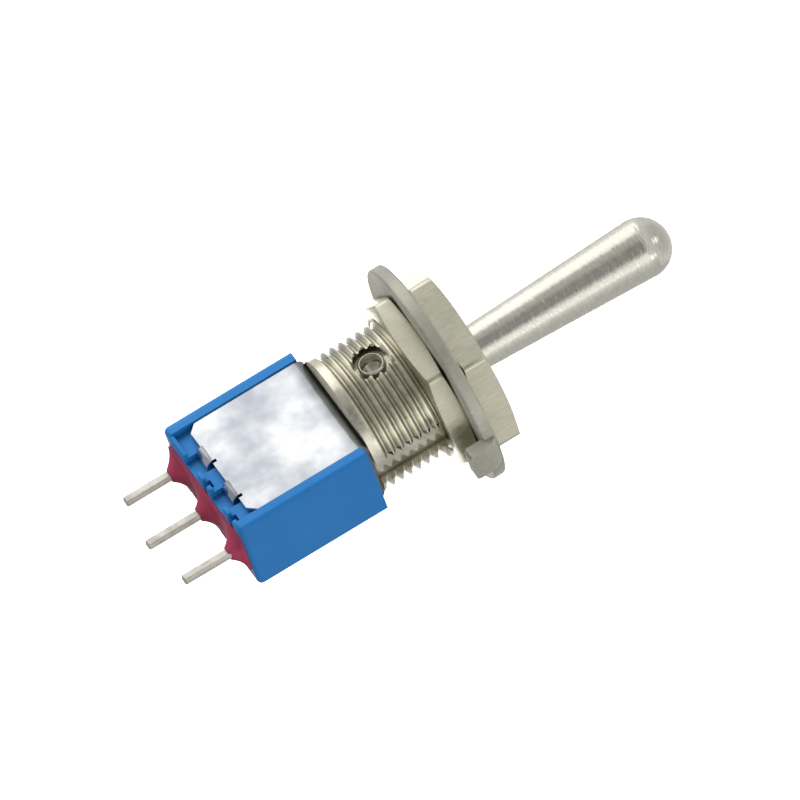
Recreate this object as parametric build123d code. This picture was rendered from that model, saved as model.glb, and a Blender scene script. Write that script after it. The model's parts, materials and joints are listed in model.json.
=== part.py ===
from build123d import *
from math import cos, radians, sin, sqrt, tan
import os

# Panel-mount toggle switch with a spring-return lever, in millimetres.
# Origin on the bushing axis, on the strap's top face. +Z runs out along the lever,
# X runs along the row of terminals, and the keyway faces +X.

# Terminals, whose pitch sets the width of the case and of all that it holds
terminal_pitch = 4.75
terminal_width = 0.78
terminal_thickness = 0.64
terminal_reach = 5.25
centre_terminal_extra = 0.65
terminal_chamfer = 0.15
terminal_hole_gap = 0.05
pad_width = 1.4
pad_depth = 1.8
pad_thickness = 0.45
cradle_width = 2.0
cradle_height = 1.3
cradle_wall = 0.3

# Moulded case
case_end_margin = 1.65
case_depth = 7.5
case_height = 11.8
case_corner_radius = 0.5
case_rim_radius = 0.45
case_end_wall = 1.25
case_side_wall = 0.85
case_floor = 1.2
lip_height = 0.4
lip_depth = 7.2
slot_width = 2.15
slot_height = 2.1
slot_shift = 0.2
slot_pitch = 4.2
slot_sink = 0.55
notch_width = 0.8
notch_height = 0.7
notch_from_slot = 2.25

# Potting resin in the pocket under the case
pocket_depth = 1.2
pocket_end_wall = 0.45
pocket_side_wall = 1.6
pocket_corner = 0.5
resin_rise = 0.2
resin_climb = 1.0
resin_neck_gap = 0.06
resin_sag = 0.22
resin_edge_slope = 40.0
resin_overlap = 0.1

# Steel strap over the case
strap_thickness = 0.5
strap_end_margin = 1.15
strap_side_margin = 0.15
strap_bottom_margin = 1.6
strap_bend_radius = 0.9
strap_corner_cut = 0.75
strap_side_gap = 0.06
strap_bend_gap = 0.05
tab_width = 1.75
tab_shift = -0.15
tab_inner_radius = 0.25
tab_reach = 0.2
relief_width = 0.3
relief_height = 0.4

# Threaded bushing
bushing_radius = 5.95
bushing_length = 11.35
bushing_chamfer = 0.4
thread_pitch = 0.794
thread_depth = 0.46
thread_crest = 0.12
thread_root = 0.15
thread_start = 0.5
thread_overcut = 0.04
keyway_width = 2.4
keyway_depth = 0.9
mouth_radius = 3.75
mouth_depth = 5.2
neck_end_wall = 0.6
neck_side_wall = 0.5
neck_drop = 0.5
stake_flare = 0.5
stake_thickness = 0.3

# Lever on its cross pin, which is drilled at both ends
pivot_height = 3.8
lever_swing = 11.0
ball_radius = 2.65
ball_gap = 0.1
stem_low_radius = 1.72
stem_exit_height = 12.6
stem_exit_radius = 1.93
tip_radius = 2.53
lever_tip = 29.78
arm_radius = 1.3
arm_drop = 6.4
arm_gap = 0.15
pin_radius = 1.1
pin_bore = 0.92
pin_bore_depth = 1.1
pin_drill_angle = 118.0
pin_sink = 0.6
pin_gap = 0.05
pin_seat_gap = 0.01
pin_recess_radius = 1.55
pin_recess_depth = 1.2
pin_chamfer = 0.12

# Plunger and its spring inside the lever
plunger_radius = 0.8
plunger_length = 5.05
plunger_gap = 0.05
plunger_rest_gap = 0.1
plunger_tip_radius = 0.5
plunger_cone = 0.9
spring_bore_drop = 1.8
spring_wire = 0.22
spring_turns = 5
spring_end_gap = 0.05

# Rocker and contacts
rocker_tilt = 7.7
rocker_rise = 3.0
rocker_thickness = 0.35
rocker_side_gap = 0.75
valley_rise = 1.15
foot_rise = 0.35
rocker_slope = 11.0
rocker_crest_span = 4.6
rocker_foot_inset = 1.6
rocker_end_inset = 0.35
rocker_flange = 0.3
rocker_toe_radius = 0.5
rocker_gap = 0.05
contact_inset = 0.75
moving_contact_radius = 0.5
moving_contact_height = 0.25
moving_contact_round = 0.08
fixed_contact_radius = 0.55
fixed_contact_height = 0.35
fixed_contact_dome = 0.9
contact_clearance = 0.04

# Nuts and lock ring
nut_wall = 1.145
nut_bore_gap = 0.05
nut_chamfer = 0.28
nut_countersink = 0.35
rear_nut_back = 6.1
rear_nut_thickness = 1.78
front_nut_thickness = 2.43
rear_nut_turn = 10.1
front_nut_turn = 14.3
stack_gap = 0.02
ring_thickness = 1.1
ring_band = 3.45
ring_bore_gap = 0.1
ring_edge_round = 0.2
key_width = 2.2
key_gap = 0.15
key_overlap = 0.3
tongue_overhang = 0.65
tongue_width = 2.9
tongue_drop = 1.7
tongue_bend = 0.3
tongue_corner = 0.35
tongue_root = 1.0

# Reach of cutting tools, and how far they run past the face that they open
far = 20.0
overcut = 1.0

# Sizes that follow from the ones above, from the case outwards
case_width = 2 * (terminal_pitch + case_end_margin)
case_top = -strap_thickness
case_bottom = case_top - case_height
cavity_half_x = case_width / 2 - case_end_wall
pocket_half_x = case_width / 2 - pocket_end_wall
pocket_half_y = case_depth / 2 - pocket_side_wall
pocket_top = case_bottom + pocket_depth
cavity_floor = pocket_top + case_floor
slot_centres = [slot_shift - slot_pitch / 2, slot_shift + slot_pitch / 2]
side_terminal_tip = case_bottom - terminal_reach
centre_terminal_tip = side_terminal_tip - centre_terminal_extra
resin_level = case_bottom - resin_rise
resin_neck = sqrt(terminal_width**2 + terminal_thickness**2) / 2 + resin_neck_gap
resin_reach = terminal_pitch / 2
strap_height = -case_bottom - strap_bottom_margin
strap_width = case_width - 2 * strap_end_margin
strap_depth = case_depth - 2 * strap_side_margin
strap_inner_half = strap_depth / 2 - strap_thickness
cavity_half_y = strap_inner_half - case_side_wall

# Lever and bushing
bore_radius = ball_radius + ball_gap
floor_level = pivot_height - bore_radius
tip_centre = lever_tip - tip_radius
arm_end = pivot_height - arm_drop
spring_bore_top = pivot_height - spring_bore_drop
plunger_bore = plunger_radius + plunger_gap
arm_slot_half_y = arm_radius + arm_gap
arm_swing_at_neck = (pivot_height + strap_thickness + neck_drop) * tan(radians(lever_swing))
arm_slot_half_x = arm_swing_at_neck + arm_radius / cos(radians(lever_swing)) + arm_gap
neck_half_x = arm_slot_half_x + neck_end_wall
neck_half_y = arm_slot_half_y + neck_side_wall
neck_bottom = -strap_thickness - neck_drop

# Rocker and contacts
rocker_pivot = cavity_floor + rocker_rise
rocker_half_y = cavity_half_y - rocker_side_gap
rocker_valley = rocker_pivot + valley_rise
rocker_foot_top = rocker_pivot + foot_rise
plunger_tip = rocker_valley + plunger_rest_gap
plunger_top = plunger_tip + plunger_length
contact_x = cavity_half_x - contact_inset
moving_contact_face = rocker_foot_top - rocker_thickness - moving_contact_height
contact_lever = rocker_pivot - moving_contact_face
dome_drop = (
    contact_lever + fixed_contact_dome + contact_clearance + contact_x * sin(radians(rocker_tilt))
) / cos(radians(rocker_tilt))
fixed_contact_top = rocker_pivot - dome_drop + fixed_contact_dome
pad_top = fixed_contact_top - fixed_contact_height

# Nuts and lock ring
nut_bore = bushing_radius + nut_bore_gap
nut_across_flats = 2 * (nut_bore + nut_wall)
ring_bore = bushing_radius + ring_bore_gap
ring_radius = ring_bore + ring_band
ring_back = rear_nut_back + rear_nut_thickness + stack_gap
front_nut_back = ring_back + ring_thickness + stack_gap


def block(x0, x1, y0, y1, z0, z1):
    return Pos((x0 + x1) / 2, (y0 + y1) / 2, (z0 + z1) / 2) * Box(x1 - x0, y1 - y0, z1 - z0)


def prism(sketch, z0, z1):
    return Pos(0, 0, z0) * extrude(sketch, amount=z1 - z0)


def turned(profile):
    return revolve(Plane.XZ * profile, axis=Axis.Z)


def along_x(profile, half_width):
    return extrude(Plane.YZ * profile, amount=half_width, both=True)


def along_y(profile, half_width):
    return extrude(Plane.XZ * profile, amount=half_width, both=True)


def both_sides(solid):
    return [solid, Rot(0, 0, 180) * solid]


def on_circle(radius, height, angle):
    return radius * sin(radians(angle)), height + radius * cos(radians(angle))


def case():
    body = prism(RectangleRounded(case_width, case_depth, case_corner_radius), case_bottom, case_top)
    body = fillet(body.edges().group_by(Axis.Z)[0], case_rim_radius)
    panel_half = strap_width / 2 + strap_side_gap
    # The strap's legs lie in a recess on both broad faces, above a low lip
    recess = block(-panel_half, panel_half, -far, -strap_inner_half, case_bottom + lip_height, far)
    lip = block(-panel_half, panel_half, -far, -lip_depth / 2, -far, case_bottom + lip_height)
    cuts = both_sides(recess) + both_sides(lip)
    for centre in slot_centres:
        left, right = centre - slot_width / 2, centre + slot_width / 2
        slot_floor = slot_sink - strap_inner_half
        slot = block(left, right, -far, slot_floor, case_bottom - overcut, case_bottom + slot_height)
        notch_x = centre + notch_from_slot
        notch = block(
            notch_x - notch_width / 2, notch_x + notch_width / 2,
            -far, -pocket_half_y / 2, case_bottom - overcut, case_bottom + notch_height,
        )
        cuts += both_sides(slot) + both_sides(notch)
    cuts.append(block(-cavity_half_x, cavity_half_x, -cavity_half_y, cavity_half_y, cavity_floor, far))
    pocket = RectangleRounded(2 * pocket_half_x, 2 * pocket_half_y, pocket_corner)
    cuts.append(prism(pocket, case_bottom - overcut, pocket_top))
    for row in (-1, 0, 1):
        half_x = terminal_width / 2 + terminal_hole_gap
        half_y = terminal_thickness / 2 + terminal_hole_gap
        groove = block(-half_x, half_x, -half_y, half_y, case_bottom, pad_top)
        cuts.append(Pos(row * terminal_pitch, 0, 0) * groove)
    # The top edges are rounded to clear the inside of the strap's bends
    bend = strap_bend_radius - strap_thickness + strap_bend_gap
    corner = Pos(bend / 2 - strap_inner_half, case_top - bend / 2) * Rectangle(bend, bend)
    corner -= Pos(bend - strap_inner_half, case_top - bend) * Circle(bend)
    cuts += both_sides(along_x(corner, panel_half))
    return body - cuts


def strap_tab(centre):
    # One tongue at the lower edge, bent inwards into its slot in the case
    outer_radius = tab_inner_radius + strap_thickness
    bend_y = -strap_depth / 2 + outer_radius
    bend_z = -strap_height + relief_height / 2
    ring = Pos(bend_y, bend_z) * (Circle(outer_radius) - Circle(tab_inner_radius))
    corner = Pos(bend_y - far / 2, bend_z - far / 2) * Rectangle(far, far)
    foot = Pos(bend_y + tab_reach / 2, bend_z - outer_radius + strap_thickness / 2) * Rectangle(
        tab_reach, strap_thickness
    )
    leg = Pos(-strap_depth / 2 + strap_thickness / 2, bend_z + relief_height / 2) * Rectangle(
        strap_thickness, relief_height
    )
    return Pos(centre + tab_shift, 0, 0) * along_x((ring & corner) + foot + leg, tab_width / 2)


def strap():
    outer = Pos(0, -strap_height / 2) * Rectangle(strap_depth, strap_height)
    outer = fillet(outer.vertices().group_by(Axis.Y)[-1], strap_bend_radius)
    inner = Pos(0, -strap_height / 2 - strap_thickness) * Rectangle(2 * strap_inner_half, strap_height)
    inner = fillet(inner.vertices().group_by(Axis.Y)[-1], strap_bend_radius - strap_thickness)
    body = along_x(outer - inner, strap_width / 2)
    lower = body.edges().filter_by(Axis.Y).group_by(Axis.Z)[0]
    body = chamfer(lower, strap_corner_cut)
    hole = SlotOverall(2 * neck_half_x, 2 * neck_half_y)
    body -= prism(hole, -strap_thickness - overcut, overcut)
    for centre in slot_centres:
        middle = centre + tab_shift
        # A short cut frees one side of the tongue
        relief = Pos(middle + (tab_width + relief_width) / 2, -strap_depth / 2, -strap_height) * Box(
            relief_width, 4 * strap_thickness, 2 * relief_height
        )
        # The leg stops above the bend, where the tongue takes over
        stop = Pos(middle, -strap_depth / 2, -strap_height) * Box(
            tab_width, 4 * strap_thickness, relief_height
        )
        body -= both_sides(relief) + both_sides(stop)
        body += both_sides(strap_tab(centre))
    return body


def cross_cylinder(radius, half_length):
    return Pos(0, 0, pivot_height) * Rot(90, 0, 0) * Cylinder(radius, 2 * half_length)


def thread_groove():
    root_radius = bushing_radius - thread_depth
    outer_radius = bushing_radius + thread_overcut
    half_root = thread_root / 2
    half_mouth = (thread_pitch - thread_crest) / 2
    half_outer = half_mouth + (half_mouth - half_root) * thread_overcut / thread_depth
    profile = Polyline(
        (root_radius, -half_root), (outer_radius, -half_outer), (outer_radius, half_outer),
        (root_radius, half_root), close=True,
    )
    height = bushing_length - thread_start + thread_pitch
    path = Helix(pitch=thread_pitch, height=height, radius=root_radius)
    return Pos(0, 0, thread_start) * sweep(Plane.XZ * make_face(profile), path=path, is_frenet=True)


def bushing():
    body = prism(Circle(bushing_radius), 0, bushing_length)
    body = chamfer(body.edges().group_by(Axis.Z)[-1], bushing_chamfer)
    body += prism(SlotOverall(2 * neck_half_x, 2 * neck_half_y), neck_bottom, 0)
    # The neck's end is staked outwards under the strap
    flare = SlotOverall(2 * (neck_half_x + stake_flare), 2 * neck_half_y)
    body += prism(flare, -strap_thickness - stake_thickness, -strap_thickness)
    mouth_bottom = bushing_length - mouth_depth
    mouth = Polyline(
        (0, floor_level), (bore_radius, floor_level), (bore_radius, mouth_bottom),
        (mouth_radius, bushing_length), (mouth_radius, bushing_length + overcut),
        (0, bushing_length + overcut), close=True,
    )
    body -= turned(make_face(mouth))
    arm_slot = SlotOverall(2 * arm_slot_half_x, 2 * arm_slot_half_y)
    body -= prism(arm_slot, neck_bottom - overcut, floor_level + overcut)
    body -= cross_cylinder(pin_radius + pin_seat_gap, far / 2)
    recess_middle = bushing_radius - pin_recess_depth + far / 2
    body -= both_sides(Pos(0, recess_middle, 0) * cross_cylinder(pin_recess_radius, far / 2))
    keyway_floor = bushing_radius - keyway_depth
    body -= block(keyway_floor, far, -keyway_width / 2, keyway_width / 2, case_top, far)
    # The groove comes last, because it starts and ends in the open keyway
    return body - thread_groove()


def pivot_pin():
    half_length = bushing_radius - pin_sink
    bottom = half_length - pin_bore_depth
    point = bottom - pin_bore / tan(radians(pin_drill_angle / 2))
    drill = turned(make_face(Polyline((0, point), (pin_bore, bottom), (pin_bore, far), (0, far), close=True)))
    drill = Pos(0, 0, pivot_height) * Rot(90, 0, 0) * drill
    pin = cross_cylinder(pin_radius, half_length) - both_sides(drill)
    rims = pin.edges().filter_by(GeomType.CIRCLE).group_by(SortBy.RADIUS)[-1]
    return chamfer(rims, pin_chamfer)


def lever():
    shoulder = pivot_height + sqrt(ball_radius**2 - stem_low_radius**2)
    arm_top = pivot_height - sqrt(ball_radius**2 - arm_radius**2)
    outline = (
        Polyline((0, arm_end), (arm_radius, arm_end), (arm_radius, arm_top))
        + ThreePointArc((arm_radius, arm_top), (ball_radius, pivot_height), (stem_low_radius, shoulder))
        + Polyline(
            (stem_low_radius, shoulder), (stem_exit_radius, stem_exit_height), (tip_radius, tip_centre)
        )
        + ThreePointArc((tip_radius, tip_centre), on_circle(tip_radius, tip_centre, 45), (0, lever_tip))
        + Line((0, lever_tip), (0, arm_end))
    )
    body = turned(make_face(outline))
    body -= cross_cylinder(pin_radius + pin_gap, far / 2)
    return body - prism(Circle(plunger_bore), arm_end - overcut, spring_bore_top)


def plunger():
    tip_middle = plunger_tip + plunger_tip_radius
    outline = (
        Line((0, plunger_top), (0, plunger_tip))
        + ThreePointArc(
            (0, plunger_tip), on_circle(plunger_tip_radius, tip_middle, 135), (plunger_tip_radius, tip_middle)
        )
        + Polyline(
            (plunger_tip_radius, tip_middle), (plunger_radius, tip_middle + plunger_cone),
            (plunger_radius, plunger_top), (0, plunger_top),
        )
    )
    return turned(make_face(outline))


def plunger_spring():
    base = plunger_top + spring_end_gap + spring_wire / 2
    height = spring_bore_top - spring_end_gap - spring_wire / 2 - base
    radius = plunger_radius - spring_wire / 2
    path = Helix(pitch=height / spring_turns, height=height, radius=radius)
    section = Plane(origin=path @ 0, z_dir=path % 0) * Circle(spring_wire / 2)
    return Pos(0, 0, base) * sweep(section, path=path)


def rocker():
    # A sprung strip bent to a shallow saddle, with two side flanges that stand on the cradle
    crest_x = rocker_crest_span / 2
    crest = rocker_valley + crest_x * tan(radians(rocker_slope))
    foot = [(cavity_half_x - inset, rocker_foot_top) for inset in (rocker_foot_inset, rocker_end_inset)]
    right_half = [(crest_x, crest)] + foot
    top = [(-x, z) for x, z in reversed(right_half)] + [(0, rocker_valley)] + right_half
    strip = offset(Polyline(*top), amount=rocker_thickness / 2, side=Side.BOTH, closed=True)
    web = along_y(make_face(Pos(0, -rocker_thickness / 2) * strip), rocker_half_y)
    toe = Pos(0, rocker_pivot) * Circle(rocker_toe_radius)
    flange_top = rocker_valley - rocker_thickness / 2
    cheek = toe + Pos(0, (rocker_pivot + flange_top) / 2) * Rectangle(
        2 * rocker_toe_radius, flange_top - rocker_pivot
    )
    flange = Pos(0, rocker_half_y - rocker_flange / 2, 0) * along_y(cheek, rocker_flange / 2)
    return web + both_sides(flange)


def moving_contact(side):
    top = rocker_foot_top - rocker_thickness
    disc = prism(Circle(moving_contact_radius), moving_contact_face, top)
    disc = fillet(disc.edges().group_by(Axis.Z)[0], moving_contact_round)
    return Pos(side * contact_x, 0, 0) * disc


def fixed_contact(side):
    centre = fixed_contact_top - fixed_contact_dome
    rivet = prism(Circle(fixed_contact_radius), pad_top, fixed_contact_top)
    rivet &= Pos(0, 0, centre) * Sphere(fixed_contact_dome)
    return Pos(side * contact_x, 0, 0) * rivet


def terminal_post(tip, top):
    post = block(
        -terminal_width / 2, terminal_width / 2, -terminal_thickness / 2, terminal_thickness / 2, tip, top
    )
    return chamfer(post.edges().group_by(Axis.Z)[0], terminal_chamfer)


def side_terminal(side):
    post = Pos(side * terminal_pitch, 0, 0) * terminal_post(side_terminal_tip, pad_top - pad_thickness / 2)
    centre = side * (cavity_half_x - terminal_hole_gap - pad_width / 2)
    return post + Pos(centre, 0, pad_top - pad_thickness / 2) * Box(pad_width, pad_depth, pad_thickness)


def centre_terminal():
    floor = rocker_pivot - cradle_height
    half_y = rocker_half_y + rocker_gap + cradle_wall
    head = block(-cradle_width / 2, cradle_width / 2, -half_y, half_y, floor, rocker_pivot)
    groove = along_y(Circle(rocker_toe_radius + rocker_gap), rocker_flange / 2 + rocker_gap)
    head -= both_sides(Pos(0, rocker_half_y - rocker_flange / 2, rocker_pivot) * groove)
    return terminal_post(centre_terminal_tip, floor + cradle_height / 2) + head


def resin():
    outline = RectangleRounded(2 * pocket_half_x, 2 * pocket_half_y, pocket_corner)
    fill = prism(outline, resin_level, pocket_top)
    # A concave collar climbs each terminal, and they meet in arcs between the terminals
    start, end = (resin_neck, resin_level - resin_climb), (resin_reach, resin_level)
    middle = ((start[0] + end[0]) / 2 - resin_sag, (start[1] + end[1]) / 2 + resin_sag)
    overlap = resin_level + resin_overlap
    collar = turned(
        make_face(
            ThreePointArc(start, middle, end)
            + Polyline(end, (resin_reach, overlap), (0, overlap), (0, start[1]), start)
        )
    )
    mound_height = resin_climb + 2 * resin_overlap
    mound = Pos(0, 0, overlap) * extrude(outline, amount=-mound_height, taper=resin_edge_slope)
    collars = [Pos(row * terminal_pitch, 0, 0) * collar for row in (-1, 0, 1)]
    body = fill + [mound & item for item in collars]
    for row in (-1, 0, 1):
        body -= Pos(row * terminal_pitch, 0, 0) * block(
            -terminal_width / 2, terminal_width / 2, -terminal_thickness / 2, terminal_thickness / 2,
            side_terminal_tip + 2 * terminal_chamfer, pocket_top,
        )
    return body


def nut(back, thickness, turn):
    corner = nut_across_flats / sqrt(3)
    flat = nut_across_flats / 2
    hexagon = prism(RegularPolygon(corner, 6, rotation=turn), back, back + thickness)
    rim = Polyline(
        (0, back), (flat, back), (corner, back + nut_chamfer), (corner, back + thickness - nut_chamfer),
        (flat, back + thickness), (0, back + thickness), close=True,
    )
    hole = prism(Circle(nut_bore), back - overcut, back + thickness + overcut)
    body = (hexagon & turned(make_face(rim))) - hole
    mouths = body.edges().filter_by(GeomType.CIRCLE).group_by(SortBy.RADIUS)[0]
    return chamfer(mouths, nut_countersink)


def lock_ring():
    top = ring_back + ring_thickness
    disc = prism(Circle(ring_radius), ring_back, top)
    disc = fillet(disc.edges(), ring_edge_round)
    disc -= prism(Circle(ring_bore), ring_back - overcut, top + overcut)
    key_floor = bushing_radius - keyway_depth + key_gap
    disc += block(key_floor, ring_bore + key_overlap, -key_width / 2, key_width / 2, ring_back, top)
    # The tongue leaves the rim and is bent back towards the case
    outer_face = ring_radius + tongue_overhang
    bend_outer = tongue_bend + ring_thickness
    bend_x, bend_z = outer_face - bend_outer, ring_back - tongue_bend
    bend = Pos(bend_x, bend_z) * (Circle(bend_outer) - Circle(tongue_bend))
    quarter = Pos(bend_x + far / 2, bend_z + far / 2) * Rectangle(far, far)
    root = Pos(bend_x - tongue_root / 2, ring_back + ring_thickness / 2) * Rectangle(
        tongue_root, ring_thickness
    )
    tongue_end = ring_back - tongue_drop
    drop = Pos(outer_face - ring_thickness / 2, (tongue_end + bend_z) / 2) * Rectangle(
        ring_thickness, bend_z - tongue_end
    )
    tongue = along_y((bend & quarter) + root + drop, tongue_width / 2)
    lower = tongue.edges().filter_by(Axis.X).group_by(Axis.Z)[0]
    return disc + fillet(lower, tongue_corner)


nodes = {
    "case": case(),
    "strap": strap(),
    "bushing": bushing(),
    "pivot_pin": pivot_pin(),
    "lever": lever(),
    "plunger": plunger(),
    "plunger_spring": plunger_spring(),
    "rocker": rocker(),
    "rocker_contact_left": moving_contact(-1),
    "rocker_contact_right": moving_contact(1),
    "fixed_contact_left": fixed_contact(-1),
    "fixed_contact_right": fixed_contact(1),
    "terminal_left": side_terminal(-1),
    "terminal_centre": centre_terminal(),
    "terminal_right": side_terminal(1),
    "resin_seal": resin(),
    "rear_nut": nut(rear_nut_back, rear_nut_thickness, rear_nut_turn),
    "lock_ring": lock_ring(),
    "front_nut": nut(front_nut_back, front_nut_thickness, front_nut_turn),
}

os.makedirs("parts", exist_ok=True)
for name, shape in nodes.items():
    export_step(shape, f"parts/{name}.step")
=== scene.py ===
import json
import math

import bmesh
import bpy
from mathutils import Matrix, Vector

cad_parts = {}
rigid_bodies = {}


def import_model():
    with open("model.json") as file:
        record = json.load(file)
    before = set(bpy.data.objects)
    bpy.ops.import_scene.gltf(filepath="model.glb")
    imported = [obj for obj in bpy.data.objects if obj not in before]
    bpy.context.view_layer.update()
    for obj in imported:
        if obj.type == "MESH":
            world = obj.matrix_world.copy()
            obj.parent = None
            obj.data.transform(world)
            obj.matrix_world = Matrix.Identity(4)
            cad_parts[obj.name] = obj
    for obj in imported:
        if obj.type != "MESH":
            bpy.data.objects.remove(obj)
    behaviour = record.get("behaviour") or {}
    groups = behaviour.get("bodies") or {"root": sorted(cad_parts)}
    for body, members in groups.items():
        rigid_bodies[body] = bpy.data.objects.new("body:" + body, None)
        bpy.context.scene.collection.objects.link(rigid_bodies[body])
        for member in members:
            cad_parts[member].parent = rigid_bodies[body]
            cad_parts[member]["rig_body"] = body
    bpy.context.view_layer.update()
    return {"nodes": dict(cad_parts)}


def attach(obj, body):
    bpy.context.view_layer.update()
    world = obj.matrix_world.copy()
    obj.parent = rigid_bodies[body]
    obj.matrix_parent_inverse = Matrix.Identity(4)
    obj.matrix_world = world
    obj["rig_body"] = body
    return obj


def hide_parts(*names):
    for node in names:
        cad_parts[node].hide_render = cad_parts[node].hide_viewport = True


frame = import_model()
nodes = frame["nodes"]
scene = bpy.context.scene
scene.view_settings.view_transform = "Standard"
mm = 0.001
print("frame loaded with", len(nodes), "nodes")


# Node helpers. noiseSpan is the part of a noise that is used, and the others are a Mix node's colour sockets
noiseSpan = (0.3, 0.7)
mixFirst, mixSecond, mixResult = 6, 7, 2


def addNode(tree, kind, values=None, **settings):
    node = tree.nodes.new(kind)
    for name, value in settings.items():
        setattr(node, name, value)
    for socket, value in (values or {}).items():
        node.inputs[socket].default_value = value
    return node


def startMaterial(name):
    material = bpy.data.materials.new(name)
    material.use_nodes = True
    tree = material.node_tree
    shader = tree.nodes["Principled BSDF"]
    coords = addNode(tree, "ShaderNodeTexCoord")
    return material, tree, shader, coords


def addNoise(tree, coords, scale, detail=3.0, roughness=0.55):
    # scale is marks per metre, one number or one for each axis
    eachAxis = scale if hasattr(scale, "__len__") else (scale,) * 3
    mapping = addNode(tree, "ShaderNodeMapping", {"Scale": eachAxis})
    noise = addNode(tree, "ShaderNodeTexNoise", {"Scale": 1.0, "Detail": detail, "Roughness": roughness})
    tree.links.new(coords.outputs["Object"], mapping.inputs["Vector"])
    tree.links.new(mapping.outputs["Vector"], noise.inputs["Vector"])
    return noise


def addRange(tree, source, low, high, fromLow=noiseSpan[0], fromHigh=noiseSpan[1]):
    spread = addNode(
        tree, "ShaderNodeMapRange",
        {"From Min": fromLow, "From Max": fromHigh, "To Min": low, "To Max": high},
    )
    tree.links.new(source, spread.inputs["Value"])
    return spread.outputs["Result"]


def addMix(tree, share, first, second):
    # first and second are colours or sockets that carry them
    mix = addNode(tree, "ShaderNodeMix", data_type="RGBA")
    tree.links.new(share, mix.inputs["Factor"])
    for place, colour in ((mixFirst, first), (mixSecond, second)):
        if isinstance(colour, tuple):
            mix.inputs[place].default_value = (*colour, 1)
        else:
            tree.links.new(colour, mix.inputs[place])
    return mix.outputs[mixResult]


def addTint(tree, source, first, second, span=noiseSpan):
    return addMix(tree, addRange(tree, source, 0, 1, *span), first, second)


def scaleTint(tree, tint, share):
    scaled = addNode(tree, "ShaderNodeVectorMath", operation="SCALE")
    tree.links.new(tint, scaled.inputs[0])
    tree.links.new(share, scaled.inputs["Scale"])
    return scaled.outputs["Vector"]


def addBump(tree, height, strength, distance, before=None):
    bump = addNode(tree, "ShaderNodeBump", {"Strength": strength, "Distance": distance})
    tree.links.new(height, bump.inputs["Height"])
    if before is not None:
        tree.links.new(before, bump.inputs["Normal"])
    return bump.outputs["Normal"]


def linkRoughness(tree, shader, source, look):
    middle, spread = look["roughness"], look["roughSpread"]
    tree.links.new(addRange(tree, source, middle - spread, middle + spread), shader.inputs["Roughness"])


# Spans over which the metals change: how far a face looks down, and how open a hollow is
baseSpan = (-0.95, -0.8)
openSpan = (0.15, 0.85)


def metalFinish(name, look):
    material, tree, shader, coords = startMaterial(name)
    grainDetail = look.get("grainDetail", 4.0)
    grain = addNoise(tree, coords, look["grainScale"], grainDetail, roughness=0.6).outputs["Fac"]
    cloud = addNoise(tree, coords, look["cloudScale"]).outputs["Fac"]
    shader.inputs["Metallic"].default_value = 1.0
    if look.get("mattBase"):
        # the flat face towards the case is dull
        facing = addNode(tree, "ShaderNodeSeparateXYZ")
        tree.links.new(coords.outputs["Normal"], facing.inputs[0])
        metallic = addRange(tree, facing.outputs["Z"], look["mattBase"], 1, *baseSpan)
        tree.links.new(metallic, shader.inputs["Metallic"])
    tint = addTint(tree, cloud, look["color"], look["cloudColor"], look.get("cloudRange", noiseSpan))
    tint = scaleTint(tree, tint, addRange(tree, grain, 1 - look["streak"], 1 + look["streak"]))
    if look.get("hollow"):
        # painted shade in the roots and seams, with a little grime there too
        paintedSeamShade = addNode(tree, "ShaderNodeAmbientOcclusion", {"Distance": look["hollow"]}, samples=8)
        tint = scaleTint(tree, tint, addRange(tree, paintedSeamShade.outputs["AO"], look["hollowShade"], 1, *openSpan))
    if look.get("bendFrom"):
        # painted shade, darker where the strip is bent over the top
        height = addNode(tree, "ShaderNodeSeparateXYZ")
        tree.links.new(coords.outputs["Object"], height.inputs[0])
        paintedBendShade = addRange(tree, height.outputs["Z"], 1, look["bendShade"], look["bendFrom"], look["bendTo"])
        tint = scaleTint(tree, tint, paintedBendShade)
    tree.links.new(tint, shader.inputs["Base Color"])
    linkRoughness(tree, shader, grain, look)
    waves = None
    if look.get("waveStrength"):
        waves = addBump(tree, cloud, look["waveStrength"], look["waveDepth"])
    marks = addBump(tree, grain, look["grainStrength"], look["grainDepth"], waves)
    tree.links.new(marks, shader.inputs["Normal"])
    if look.get("turned"):
        # fine marks run round the part or, a quarter turn on, along it, and highlights stretch across them
        tangent = addNode(tree, "ShaderNodeTangent", direction_type="RADIAL", axis="Z")
        tree.links.new(tangent.outputs["Tangent"], shader.inputs["Tangent"])
        shader.inputs["Anisotropic"].default_value = look["turned"]
        shader.inputs["Anisotropic Rotation"].default_value = look["turnedAngle"]
    return material


def plasticFinish(name, look):
    material, tree, shader, coords = startMaterial(name)
    grain = addNoise(tree, coords, look["grainScale"]).outputs["Fac"]
    cloud = addNoise(tree, coords, look["cloudScale"]).outputs["Fac"]
    tree.links.new(addTint(tree, cloud, look["color"], look["cloudColor"]), shader.inputs["Base Color"])
    linkRoughness(tree, shader, cloud, look)
    shader.inputs["Specular IOR Level"].default_value = look["specular"]
    tree.links.new(addBump(tree, grain, look["grainStrength"], look["grainDepth"]), shader.inputs["Normal"])
    return material


# Mesh helpers. Corners turn by an angle within cornerTurn and run along z by uprightShare or more
weldReach = 0.0005 * mm
flatTurn = math.radians(0.3)
cornerTurn = (math.radians(50), math.radians(100))
uprightShare = 0.99
cornerSteps, edgeSteps = 6, 2


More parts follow.
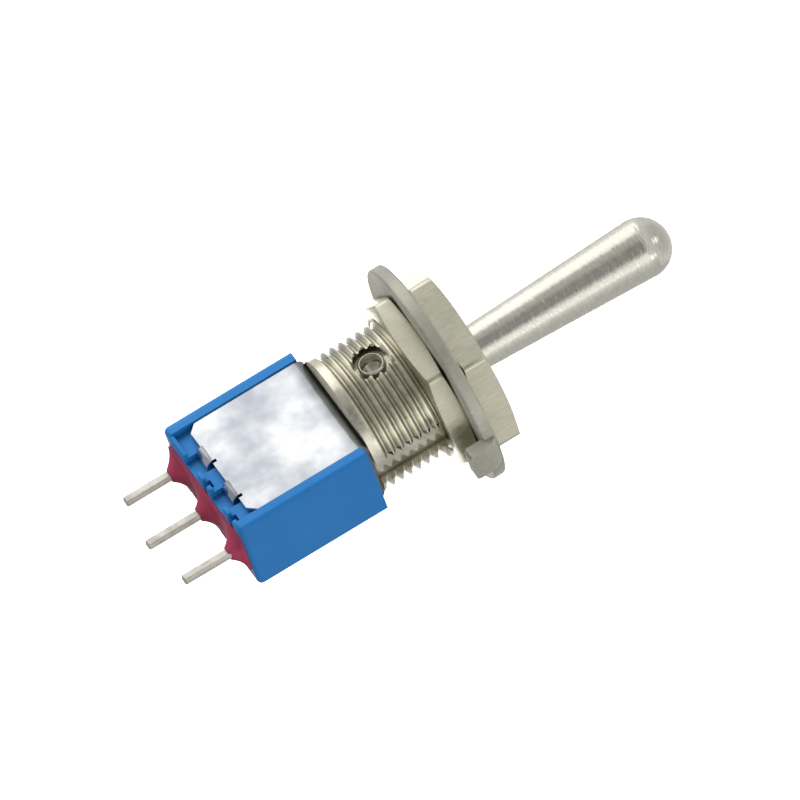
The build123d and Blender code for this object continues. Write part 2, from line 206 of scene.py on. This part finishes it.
def finishPiece(name, bm, body, stoodFor, finish, smoothAngle=32):
    bmesh.ops.recalc_face_normals(bm, faces=bm.faces)
    mesh = bpy.data.meshes.new(name)
    bm.to_mesh(mesh)
    bm.free()
    for face in mesh.polygons:
        face.use_smooth = True
    mesh.set_sharp_from_angle(angle=math.radians(smoothAngle))
    mesh.materials.append(finish)
    piece = bpy.data.objects.new(name, mesh)
    scene.collection.objects.link(piece)
    evenShading = piece.modifiers.new("evenShading", "WEIGHTED_NORMAL")
    evenShading.keep_sharp = True
    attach(piece, body)
    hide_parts(*stoodFor)
    return piece


def mergedCopy(nodeName):
    bm = bmesh.new()
    bm.from_mesh(nodes[nodeName].data)
    bmesh.ops.remove_doubles(bm, verts=bm.verts, dist=weldReach)
    bmesh.ops.dissolve_limit(
        bm, angle_limit=flatTurn, use_dissolve_boundaries=False, verts=bm.verts, edges=bm.edges
    )
    return bm


def turnAt(edge):
    return edge.calc_face_angle() if len(edge.link_faces) == 2 else 0


def isUprightCorner(edge, cornerLength):
    along = (edge.verts[0].co - edge.verts[1].co).normalized()
    if abs(along.z) < uprightShare or edge.calc_length() < cornerLength:
        return False
    return cornerTurn[0] < turnAt(edge) < cornerTurn[1]


def roundEdges(bm, edges, radius, steps, clamp=True):
    bmesh.ops.bevel(
        bm, geom=edges, offset=radius, offset_type="OFFSET", segments=steps, profile=0.5,
        affect="EDGES", clamp_overlap=clamp, material=-1,
    )


def bodyOf(nodeName):
    return nodes[nodeName]["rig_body"]


def softPiece(name, nodeName, finish, look):
    # Edges sharper than sharpAngle, 30 degrees unless it is given, get the edgeRadius. Upright corners over
    # cornerLength first get the cornerRadius. With a cornerLength they end inside other pieces, where their
    # rounding may overlap
    bm = mergedCopy(nodeName)
    if look.get("cornerRadius"):
        cornerLength = look.get("cornerLength", 0)
        corners = [edge for edge in bm.edges if isUprightCorner(edge, cornerLength)]
        roundEdges(bm, corners, look["cornerRadius"], cornerSteps, clamp=cornerLength == 0)
    sharpTurn = math.radians(look.get("sharpAngle", 30))
    roundEdges(bm, [edge for edge in bm.edges if turnAt(edge) > sharpTurn], look["edgeRadius"], edgeSteps)
    return finishPiece(name, bm, bodyOf(nodeName), [nodeName], finish)


# Blue moulded case
case = {
    "color": (0.013, 0.144, 0.392), "cloudColor": (0.011, 0.132, 0.368), "cloudScale": 180,
    "grainScale": 9000, "grainStrength": 0.25, "grainDepth": 0.02 * mm,
    "roughness": 0.45, "roughSpread": 0.06, "specular": 0.3, "edgeRadius": 0.09 * mm,
}
blueMoulding = plasticFinish("blueMoulding", case)
softPiece("case_moulding", "case", blueMoulding, case)
print("case done")

# Bright steel strap folded over the case
strap = {
    "color": (0.83, 0.84, 0.85), "cloudColor": (0.44, 0.47, 0.52),
    "cloudScale": 210, "cloudRange": (0.34, 0.62),
    "grainScale": (4000, 4000, 1200), "roughness": 0.20, "roughSpread": 0.05, "streak": 0.03,
    "grainStrength": 0.12, "grainDepth": 0.01 * mm, "waveStrength": 0.6, "waveDepth": 0.35 * mm,
    "hollow": 0.4 * mm, "hollowShade": 0.4, "edgeRadius": 0.07 * mm,
    "bendFrom": -1.7 * mm, "bendTo": -0.3 * mm, "bendShade": 0.4,
}
brightSteel = metalFinish("brightSteel", strap)
softPiece("steel_strap", "strap", brightSteel, strap)
print("strap done")

# Threaded bushing
bushing = {
    "color": (0.88, 0.85, 0.71), "cloudColor": (0.64, 0.61, 0.49), "cloudScale": 420,
    "grainScale": (2500, 2500, 2500), "roughness": 0.19, "roughSpread": 0.07, "streak": 0.10,
    "grainStrength": 0.15, "grainDepth": 0.01 * mm, "waveStrength": 0.1, "waveDepth": 0.05 * mm,
    "hollow": 0.6 * mm, "hollowShade": 0.22, "mattBase": 0.1, "edgeRadius": 0.05 * mm, "sharpAngle": 25,
}
bushingNickel = metalFinish("bushingNickel", bushing)
softPiece("threaded_bushing", "bushing", bushingNickel, bushing)
print("bushing done")

# Pivot pin, drilled at its ends
pivotPin = dict(
    bushing, color=(0.84, 0.82, 0.70), cloudColor=(0.70, 0.67, 0.56), hollow=1.2 * mm, sharpAngle=30,
)
pinNickel = metalFinish("pinNickel", pivotPin)
softPiece("drilled_pivot_pin", "pivot_pin", pinNickel, pivotPin)
print("pivot pin done")

# Turned lever
lever = {
    "color": (0.83, 0.815, 0.72), "cloudColor": (0.75, 0.735, 0.64), "cloudScale": 90,
    "grainScale": (1300, 1300, 5000), "grainDetail": 1.0, "grainStrength": 1.0, "grainDepth": 0.03 * mm,
    "roughness": 0.12, "roughSpread": 0.05, "streak": 0.06, "turned": 0.6, "turnedAngle": 0.0,
}
leverNickel = metalFinish("leverNickel", lever)
nodes["lever"].data.materials.clear()
nodes["lever"].data.materials.append(leverNickel)
print("lever done")

# Nuts and lock ring
nut = {
    "color": (0.82, 0.80, 0.64), "cloudColor": (0.72, 0.70, 0.54), "cloudScale": 300,
    "grainScale": (8000, 8000, 900), "roughness": 0.34, "roughSpread": 0.09, "streak": 0.11,
    "grainStrength": 0.3, "grainDepth": 0.01 * mm, "waveStrength": 0.25, "waveDepth": 0.1 * mm,
    "turned": 0.5, "turnedAngle": 0.25, "hollow": 0.5 * mm, "hollowShade": 0.4,
    "edgeRadius": 0.07 * mm, "cornerRadius": 0.30 * mm, "sharpAngle": 24,
}
nutNickel = metalFinish("nutNickel", nut)
for name, nodeName in (("rear_hex_nut", "rear_nut"), ("front_hex_nut", "front_nut")):
    softPiece(name, nodeName, nutNickel, nut)
ring = dict(
    nut, color=(0.70, 0.69, 0.60), cloudColor=(0.56, 0.55, 0.47), grainScale=(2500, 2500, 2500),
    roughness=0.62, edgeRadius=0.1 * mm, sharpAngle=30, cornerRadius=None,
)
ringNickel = metalFinish("ringNickel", ring)
softPiece("tongued_lock_ring", "lock_ring", ringNickel, ring)
print("nuts and ring done")

# Potting resin and terminals
resin = {
    "color": (0.330, 0.042, 0.088), "cloudColor": (0.250, 0.033, 0.068), "cloudScale": 500,
    "grainScale": 4000, "grainStrength": 0.1, "grainDepth": 0.02 * mm,
    "roughness": 0.55, "roughSpread": 0.06, "specular": 0.12,
    "edgeRadius": 0.05 * mm, "flowGrid": 0.08 * mm, "settleShare": 0.5, "settleSteps": 6,
}
redResin = plasticFinish("redResin", resin)
redPiece = softPiece("red_resin", "resin_seal", redResin, resin)
redPiece.modifiers.remove(redPiece.modifiers["evenShading"])
flow = redPiece.modifiers.new("flow", "REMESH")
flow.mode = "VOXEL"
flow.voxel_size = resin["flowGrid"]
flow.use_smooth_shade = True
settle = redPiece.modifiers.new("settle", "SMOOTH")
settle.factor = resin["settleShare"]
settle.iterations = resin["settleSteps"]
terminal = {
    "color": (0.90, 0.87, 0.79), "cloudColor": (0.62, 0.59, 0.51), "cloudScale": 900,
    "grainScale": (6000, 6000, 900), "roughness": 0.48, "roughSpread": 0.08, "streak": 0.08,
    "grainStrength": 0.2, "grainDepth": 0.01 * mm, "waveStrength": 0.3, "waveDepth": 0.1 * mm,
    "hollow": 0.4 * mm, "hollowShade": 0.5, "edgeRadius": 0.06 * mm, "cornerRadius": 0.18 * mm,
    "cornerLength": 3 * mm,
}
tinPlate = metalFinish("tinPlate", terminal)
for place in ("left", "centre", "right"):
    softPiece("pin_" + place, "terminal_" + place, tinPlate, terminal)
print("resin and terminals done")

# Inner mechanism
inner = {
    "plunger": ("plunger_plastic", plasticFinish("plungerPlastic", dict(
        case, color=(0.75, 0.73, 0.66), cloudColor=(0.70, 0.67, 0.60)))),
    "plunger_spring": ("spring_wire", metalFinish("springWire", dict(
        strap, bendFrom=None, color=(0.55, 0.55, 0.56), cloudColor=(0.45, 0.45, 0.46)))),
    "rocker": ("contact_brass", metalFinish("contactBrass", dict(
        nut, color=(0.78, 0.58, 0.28), cloudColor=(0.70, 0.50, 0.22)))),
}
contactSilver = metalFinish("contactSilver", dict(
    nut, color=(0.86, 0.85, 0.82), cloudColor=(0.76, 0.75, 0.72)))
for nodeName in ("rocker_contact_left", "rocker_contact_right", "fixed_contact_left", "fixed_contact_right"):
    inner[nodeName] = ("contact_silver", contactSilver)
for nodeName, (slotName, finish) in inner.items():
    nodes[nodeName].data.materials.clear()
    nodes[nodeName].data.materials.append(finish)
print("inner pieces done")

# Camera without perspective, with the lever rising to the upper right
view = {
    "azimuth": 37.126, "elevation": -7.6375, "roll": 31.058, "width": 62.59 * mm, "distance": 0.4,
    "farClip": 10, "centreRight": 4.336 * mm, "centreUp": 2.112 * mm,
}
azimuth, elevation, roll = (math.radians(view[key]) for key in ("azimuth", "elevation", "roll"))
towardsViewer = Vector((
    math.sin(azimuth) * math.cos(elevation), -math.cos(azimuth) * math.cos(elevation), math.sin(elevation)
))
alongRow = Vector((math.cos(azimuth), math.sin(azimuth), 0))
alongLever = towardsViewer.cross(alongRow)
imageRight = alongLever * math.cos(roll) + alongRow * math.sin(roll)
imageUp = alongLever * math.sin(roll) - alongRow * math.cos(roll)
centre = imageRight * view["centreRight"] + imageUp * view["centreUp"]
cameraData = bpy.data.cameras.new("photoCamera")
cameraData.type = "ORTHO"
cameraData.ortho_scale = view["width"]
cameraData.clip_end = view["farClip"]
camera = bpy.data.objects.new("photoCamera", cameraData)
facing = Matrix((imageRight, imageUp, towardsViewer)).transposed().to_4x4()
camera.matrix_world = Matrix.Translation(centre + towardsViewer * view["distance"]) @ facing
scene.collection.objects.link(camera)
scene.camera = camera


def stageObject(name, bm, finish):
    mesh = bpy.data.meshes.new(name)
    bm.to_mesh(mesh)
    bm.free()
    mesh.materials.append(finish)
    item = bpy.data.objects.new(name, mesh)
    scene.collection.objects.link(item)
    return item


# Soft studio lamps, placed by their degrees round the lever from the viewer, downwards in the picture
lamps = {
    "topBox": {"angle": -85, "distance": 0.35, "width": 0.24, "length": 0.45, "power": 1.95},
    "lowBox": {"angle": 44, "distance": 0.35, "width": 0.17, "length": 0.45, "power": 0.80},
}
for name, lamp in lamps.items():
    lampData = bpy.data.lights.new(name, "AREA")
    lampData.shape = "RECTANGLE"
    lampData.size, lampData.size_y = lamp["length"], lamp["width"]
    lampData.energy = lamp["power"]
    item = bpy.data.objects.new(name, lampData)
    angle = math.radians(lamp["angle"])
    outwards = towardsViewer * math.cos(angle) + alongRow * math.sin(angle)
    side = outwards.cross(alongLever)
    place = centre + outwards * lamp["distance"]
    aim = Matrix((alongLever, -side, outwards)).transposed().to_4x4()
    item.matrix_world = Matrix.Translation(place) @ aim
    item.visible_glossy = False
    scene.collection.objects.link(item)

# Plain pale floor behind the part as the camera sees it, clear from its back. It glows white to the camera
# and in mirrors, and for everything else it only takes the light that falls on it
floor = {"behind": 0.12, "halfSize": 0.045, "shade": 0.86, "roughness": 0.9}
floorPaint, tree, shader, coords = startMaterial("floorPaint")
shader.inputs["Base Color"].default_value = (floor["shade"],) * 3 + (1,)
shader.inputs["Roughness"].default_value = floor["roughness"]
rays = addNode(tree, "ShaderNodeLightPath")
geometry = addNode(tree, "ShaderNodeNewGeometry")
glow = addNode(tree, "ShaderNodeEmission")
seen = [addNode(tree, "ShaderNodeMath", operation="ADD", use_clamp=True) for step in range(2)]
tree.links.new(rays.outputs["Is Camera Ray"], seen[0].inputs[0])
tree.links.new(rays.outputs["Is Glossy Ray"], seen[0].inputs[1])
tree.links.new(seen[0].outputs[0], seen[1].inputs[0])
tree.links.new(rays.outputs["Is Transmission Ray"], seen[1].inputs[1])
tree.links.new(seen[1].outputs[0], glow.inputs["Strength"])
lit = addNode(tree, "ShaderNodeAddShader")
tree.links.new(shader.outputs["BSDF"], lit.inputs[0])
tree.links.new(glow.outputs["Emission"], lit.inputs[1])
clear = addNode(tree, "ShaderNodeBsdfTransparent")
sided = addNode(tree, "ShaderNodeMixShader")
tree.links.new(geometry.outputs["Backfacing"], sided.inputs["Fac"])
tree.links.new(lit.outputs["Shader"], sided.inputs[1])
tree.links.new(clear.outputs["BSDF"], sided.inputs[2])
tree.links.new(sided.outputs["Shader"], tree.nodes["Material Output"].inputs["Surface"])
bm = bmesh.new()
bmesh.ops.create_grid(bm, x_segments=1, y_segments=1, size=floor["halfSize"])
bmesh.ops.transform(
    bm, matrix=Matrix.Translation(centre - towardsViewer * floor["behind"]) @ facing, verts=bm.verts
)
stageObject("paleFloor", bm, floorPaint)

# Light tent round the part. Its bands are degrees round the lever with their light, and its ends are shares
# along the lever with theirs. The bands give way to the ends over boxEnd. A spot has its degrees round, its
# share along, and its inner and outer half angle in degrees
tent = {
    "radius": 0.6, "subdivisions": 4, "light": 1.35, "boxEnd": (0.30, 0.52),
    "ends": ((-1, 0.28), (0.30, 0.28), (0.45, 0.46), (0.60, 0.50), (0.85, 0.40), (1, 0.36)),
    "spots": ((52, 0.42, 6, 12), (0, 0.93, 5, 11)),
    "bands": (
        (-180, 0.50), (-144, 0.50), (-118, 0.66), (-104, 0.97), (-78, 1.0), (-62, 0.80), (-54, 0.40),
        (-30, 0.30), (-18, 0.20), (0, 0.22), (10, 0.20), (22, 0.42), (32, 0.72), (50, 0.78), (66, 0.50),
        (90, 0.37), (130, 0.36), (180, 0.50),
    ),
}
tentCloth, tree, shader, coords = startMaterial("tentCloth")


def shareAlong(direction):
    unit = addNode(tree, "ShaderNodeVectorMath", operation="NORMALIZE")
    tree.links.new(coords.outputs["Object"], unit.inputs[0])
    dot = addNode(tree, "ShaderNodeVectorMath", operation="DOT_PRODUCT")
    tree.links.new(unit.outputs["Vector"], dot.inputs[0])
    dot.inputs[1].default_value = direction
    return dot.outputs["Value"]


def addSteps(source, steps):
    ramp = addNode(tree, "ShaderNodeValToRGB")
    low, high = steps[0][0], steps[-1][0]
    tree.links.new(addRange(tree, source, 0, 1, low, high), ramp.inputs["Fac"])
    stops = ramp.color_ramp.elements
    stops[0].color = (*(steps[0][1],) * 3, 1)
    stops[1].color = (*(steps[-1][1],) * 3, 1)
    for place, light in steps[1:-1]:
        stops.new((place - low) / (high - low)).color = (light, light, light, 1)
    return ramp.outputs["Color"]


turn = addNode(tree, "ShaderNodeMath", operation="ARCTAN2")
tree.links.new(shareAlong(alongRow), turn.inputs[0])
tree.links.new(shareAlong(towardsViewer), turn.inputs[1])
degrees = addRange(tree, turn.outputs[0], -180, 180, -math.pi, math.pi)
alongTent = shareAlong(alongLever)
lengthwise = addNode(tree, "ShaderNodeMath", operation="ABSOLUTE")
tree.links.new(alongTent, lengthwise.inputs[0])
endShare = addRange(tree, lengthwise.outputs[0], 0, 1, *tent["boxEnd"])
shown = addMix(tree, endShare, addSteps(degrees, tent["bands"]), addSteps(alongTent, tent["ends"]))
for angle, along, inner, outer in tent["spots"]:
    spread = math.sqrt(1 - along * along)
    angle = math.radians(angle)
    outwards = towardsViewer * math.cos(angle) + alongRow * math.sin(angle)
    place = shareAlong(outwards * spread + alongLever * along)
    edges = math.cos(math.radians(outer)), math.cos(math.radians(inner))
    shown = addMix(tree, addRange(tree, place, 0, 1, *edges), shown, (1, 1, 1))
glow = addNode(tree, "ShaderNodeEmission", {"Strength": tent["light"]})
tree.links.new(shown, glow.inputs["Color"])
tree.links.new(glow.outputs["Emission"], tree.nodes["Material Output"].inputs["Surface"])
bm = bmesh.new()
bmesh.ops.create_icosphere(bm, subdivisions=tent["subdivisions"], radius=tent["radius"])
bmesh.ops.reverse_faces(bm, faces=bm.faces)
tentPiece = stageObject("lightTent", bm, tentCloth)
tentPiece.visible_camera = False
tentPiece.visible_shadow = False

# White world behind the floor and the tent
world = bpy.data.worlds.new("whiteRoom")
scene.world = world
world.use_nodes = True
world.node_tree.nodes["Background"].inputs["Color"].default_value = (1, 1, 1, 1)
print("camera, lamps, floor, tent and world done")
